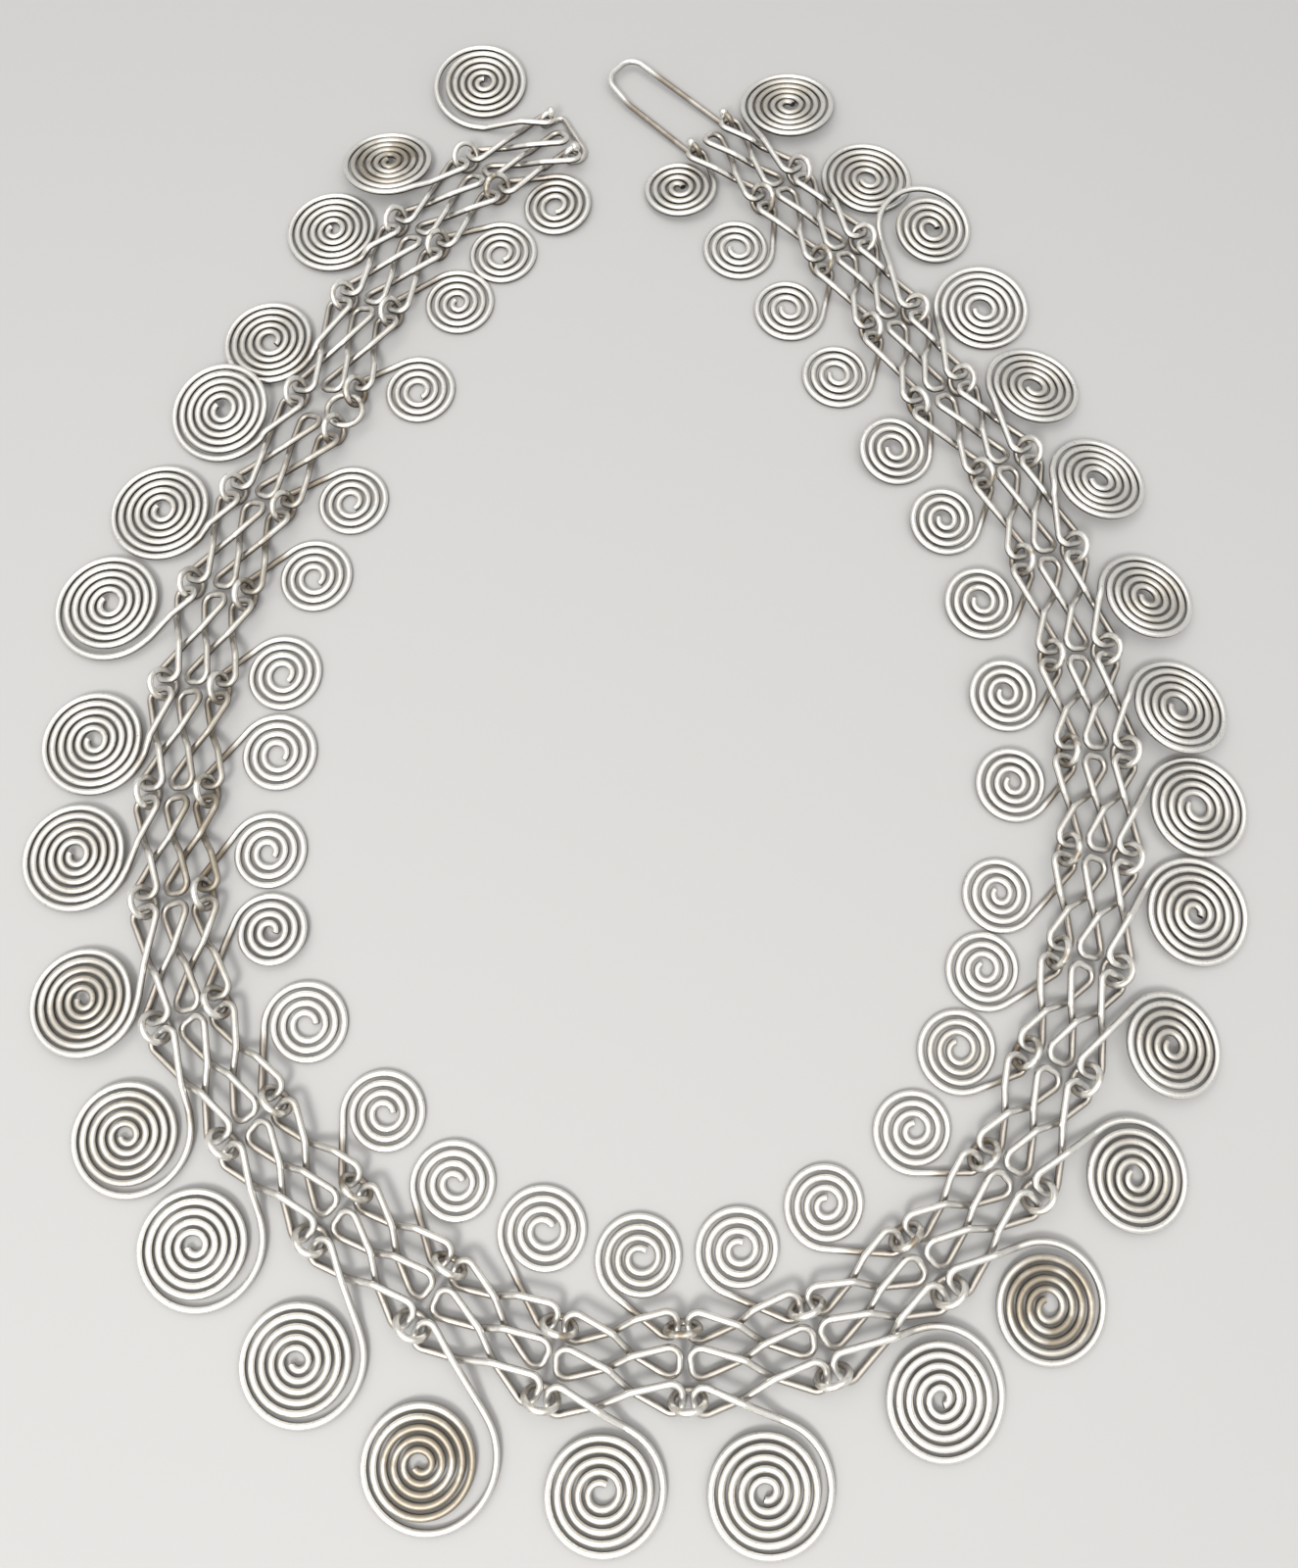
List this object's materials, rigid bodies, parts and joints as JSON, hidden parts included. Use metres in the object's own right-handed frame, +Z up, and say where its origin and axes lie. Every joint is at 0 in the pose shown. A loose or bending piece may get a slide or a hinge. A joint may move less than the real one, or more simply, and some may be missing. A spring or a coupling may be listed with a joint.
{
  "type": "modernist necklace",
  "caption": "Collar necklace of bent wire links with a large and a small flat spiral each, joined by jump rings in two rows, closed by a hairpin hook over a bar.",
  "frame": {"origin": "centre of the necklace as it lies, at the level of the surface below it", "axes": "+Z up from the surface, +Y from the bottom of the collar towards its clasp, +X to the right as seen from above"},
  "size_m": [0.1496, 0.1986, 0.0043],
  "materials": {
    "oxidised_silver": "silver wire with worn bright crests and dark oxide in its gaps",
    "ring_silver": "silver wire, darker and yellower than the links",
    "clasp_silver": "plain silver wire with melted balls at its ends"
  },
  "bodies": {
    "collar": {"link_01": "oxidised_silver", "link_02": "oxidised_silver", "link_03": "oxidised_silver", "link_04": "oxidised_silver", "link_05": "oxidised_silver", "link_06": "oxidised_silver", "link_07": "oxidised_silver", "link_08": "oxidised_silver", "link_09": "oxidised_silver", "link_10": "oxidised_silver", "link_11": "oxidised_silver", "link_12": "oxidised_silver", "link_13": "oxidised_silver", "link_14": "oxidised_silver", "link_15": "oxidised_silver", "link_16": "oxidised_silver", "link_17": "oxidised_silver", "link_18": "oxidised_silver", "link_19": "oxidised_silver", "link_20": "oxidised_silver", "link_21": "oxidised_silver", "link_22": "oxidised_silver", "link_23": "oxidised_silver", "link_24": "oxidised_silver", "link_25": "oxidised_silver", "link_26": "oxidised_silver", "link_27": "oxidised_silver", "link_28": "oxidised_silver", "link_29": "oxidised_silver", "link_30": "oxidised_silver", "outer_jump_rings": "ring_silver", "inner_jump_rings": "ring_silver"},
    "hook": {"clasp_hook": "clasp_silver"},
    "bar": {"clasp_bar": "clasp_silver"}
  },
  "joints": [
    {"name": "hook_swing", "type": "hinge", "parent": "collar", "child": "hook", "pos_m": [0.01029, 0.08297, 0.0016], "axis": [0.6691, 0.7431, 0], "range_deg": [-25, 75]},
    {"name": "bar_swing", "type": "hinge", "parent": "collar", "child": "bar", "pos_m": [-0.01059, 0.08281, 0.0016], "axis": [0.5, -0.866, 0], "range_deg": [-20, 60]}
  ]
}
